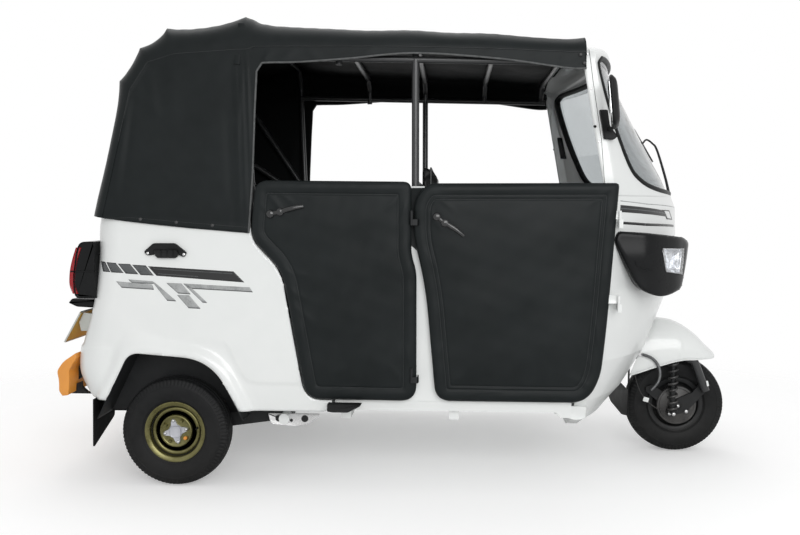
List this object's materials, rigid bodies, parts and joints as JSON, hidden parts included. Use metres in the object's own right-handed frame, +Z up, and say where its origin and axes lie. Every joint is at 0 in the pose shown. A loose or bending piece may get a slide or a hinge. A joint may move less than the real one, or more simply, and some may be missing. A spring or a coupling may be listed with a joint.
{
  "type": "auto rickshaw",
  "caption": "Three-wheeled passenger vehicle with a soft canopy, padded half doors, painted tub and cowl, hooded front wheel and a bench seat behind the driver.",
  "frame": {"origin": "on the ground under the middle of the vehicle's length and width", "axes": "+X forward, +Y to the vehicle's left, +Z up"},
  "size_m": [2.6469, 1.542, 1.74],
  "materials": {
    "white_paint": "gloss",
    "black_paint": "satin",
    "yellow_paint": "gloss",
    "plate_paint": "satin",
    "rim_zinc": "satin",
    "steel": "brushed",
    "cast_metal": "cast",
    "vinyl": "satin",
    "seat_vinyl": "satin",
    "flap_rubber": "matte",
    "tyre_rubber": "matte",
    "black_plastic": "matte",
    "lamp_housing": "gloss",
    "lens_red": "gloss",
    "screen_glass": "clear",
    "conduit": "satin"
  },
  "bodies": {
    "body": {"chassis_frame": "black_paint", "dashboard": "black_plastic", "door_posts": "white_paint", "door_steps": "black_plastic", "drive_shafts": "steel", "driver_back_pad": "seat_vinyl", "driver_seat_box": "black_paint", "driver_seat_cushion": "seat_vinyl", "engine_block": "cast_metal", "floor_pan": "white_paint", "front_cowl": "white_paint", "front_mud_flap": "flap_rubber", "headlamps": "lamp_housing", "mirrors": "black_plastic", "number_plate": "plate_paint", "rear_body": "white_paint", "rear_bulkhead": "black_paint", "rear_bumper": "yellow_paint", "rear_dampers": "black_paint", "rear_mud_flaps": "flap_rubber", "rear_seat_back": "seat_vinyl", "rear_seat_cushion": "seat_vinyl", "roof_canopy": "vinyl", "roof_frame": "black_paint", "silencer": "steel", "steering_head": "black_paint", "tail_lamps": "lens_red", "toe_board": "white_paint", "trailing_arms": "black_paint", "windscreen_frame": "white_paint", "windscreen_glass": "screen_glass", "wiper": "black_plastic"},
    "steering": {"steering_stem": "black_paint", "handlebar": "black_paint", "front_link": "black_paint", "front_damper": "black_paint", "front_mudguard": "white_paint", "brake_hose": "conduit", "wheel_cable": "black_plastic"},
    "front_wheel": {"front_rim": "black_paint", "front_tyre": "tyre_rubber"},
    "rear_wheel_left": {"rear_rim_left": "rim_zinc", "rear_tyre_left": "tyre_rubber"},
    "rear_wheel_right": {"rear_rim_right": "rim_zinc", "rear_tyre_right": "tyre_rubber"},
    "rear_door_left": {"rear_door_left": "vinyl"},
    "rear_door_right": {"rear_door_right": "vinyl"},
    "front_door_left": {"front_door_left": "vinyl"},
    "front_door_right": {"front_door_right": "vinyl"},
    "engine_lid": {"engine_lid": "white_paint"}
  },
  "joints": [
    {"name": "steering", "type": "hinge", "parent": "body", "child": "steering", "pos_m": [1.0185, 0, 0.5], "axis": [-0.3746, 0, 0.9272], "range_deg": [-38, 38]},
    {"name": "front_wheel", "type": "hinge", "parent": "steering", "child": "front_wheel", "pos_m": [1.1185, 0, 0.205], "axis": [0, 1, 0], "continuous": true},
    {"name": "rear_wheel_left", "type": "hinge", "parent": "body", "child": "rear_wheel_left", "pos_m": [-0.8665, 0.581, 0.205], "axis": [0, 1, 0], "continuous": true},
    {"name": "rear_wheel_right", "type": "hinge", "parent": "body", "child": "rear_wheel_right", "pos_m": [-0.8665, -0.581, 0.205], "axis": [0, 1, 0], "continuous": true},
    {"name": "rear_door_left", "type": "hinge", "parent": "body", "child": "rear_door_left", "pos_m": [0.0195, 0.654, 0.7], "axis": [0, 0, -1], "range_deg": [0, 80]},
    {"name": "rear_door_right", "type": "hinge", "parent": "body", "child": "rear_door_right", "pos_m": [0.0195, -0.654, 0.7], "axis": [0, 0, 1], "range_deg": [0, 80]},
    {"name": "front_door_left", "type": "hinge", "parent": "body", "child": "front_door_left", "pos_m": [0.7555, 0.654, 0.7], "axis": [0, 0, -1], "range_deg": [0, 80]},
    {"name": "front_door_right", "type": "hinge", "parent": "body", "child": "front_door_right", "pos_m": [0.7555, -0.654, 0.7], "axis": [0, 0, 1], "range_deg": [0, 80]},
    {"name": "engine_lid", "type": "hinge", "parent": "body", "child": "engine_lid", "pos_m": [-1.1865, 0, 0.794], "axis": [0, 1, 0], "range_deg": [0, 75]}
  ]
}
